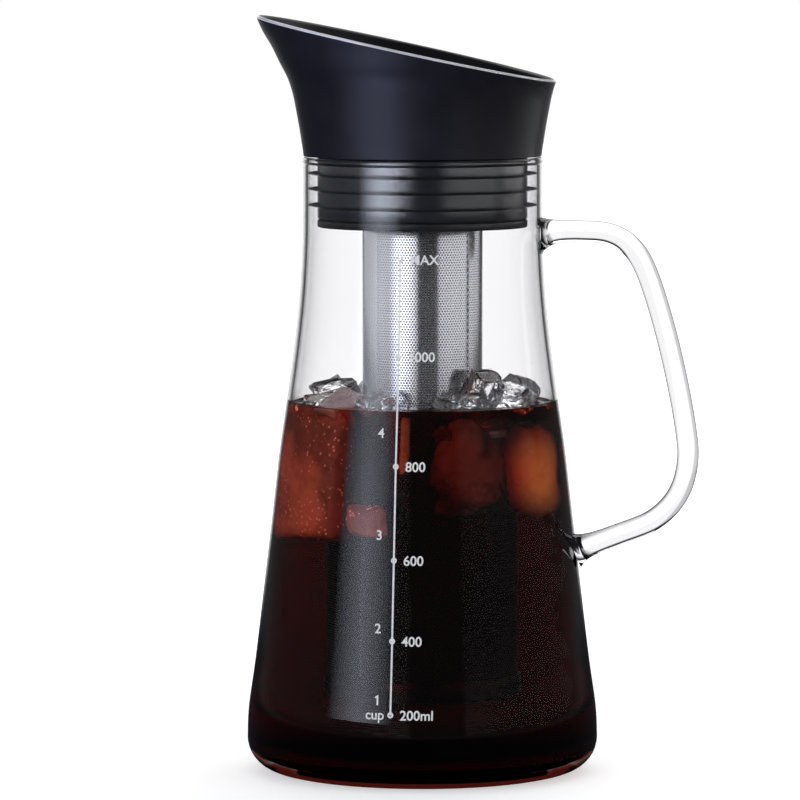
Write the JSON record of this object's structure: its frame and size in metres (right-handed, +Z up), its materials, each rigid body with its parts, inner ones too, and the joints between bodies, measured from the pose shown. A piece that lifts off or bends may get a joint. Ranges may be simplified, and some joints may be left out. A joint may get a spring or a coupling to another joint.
{
  "type": "cold brew coffee maker",
  "caption": "Glass carafe with a drawn glass handle, a slanted black pouring spout with a finned neck seal and a gravity flap, and a perforated steel filter hanging from the lid.",
  "frame": {"origin": "middle of the carafe's flat base, on its underside", "axes": "+Z up along the carafe's axis, +X towards the handle, -X towards the spout's high tip"},
  "size_m": [0.1461, 0.1136, 0.244],
  "materials": {
    "glass": "clear blown borosilicate",
    "black_plastic": "satin black",
    "silicone": "soft matt black",
    "steel": "brushed stainless steel",
    "mesh": "finely perforated stainless steel sheet"
  },
  "bodies": {
    "carafe": {"carafe_body": "glass", "carafe_handle": "glass"},
    "lid": {"spout_shell": "black_plastic", "plug_barrel": "black_plastic", "neck_seal": "silicone", "pour_strainer": "black_plastic", "flap_seat": "black_plastic", "flap_seat_seal": "silicone", "flap_hinge_pin": "steel"},
    "flap": {"pour_flap": "steel", "flap_weight": "steel"},
    "filter": {"filter_collar": "black_plastic", "filter_collar_seal": "silicone", "filter_screen": "mesh", "filter_liner": "mesh", "filter_base_cup": "steel"}
  },
  "joints": [
    {"name": "lid_lift", "type": "slide", "parent": "carafe", "child": "lid", "axis": [0, 0, 1], "range_m": [0, 0.185]},
    {"name": "flap_hinge", "type": "hinge", "parent": "lid", "child": "flap", "pos_m": [0.025, 0, 0.2102], "axis": [0, 1, 0], "range_deg": [0, 50]},
    {"name": "filter_pull", "type": "slide", "parent": "lid", "child": "filter", "axis": [0, 0, -1], "range_m": [0, 0.014]}
  ]
}
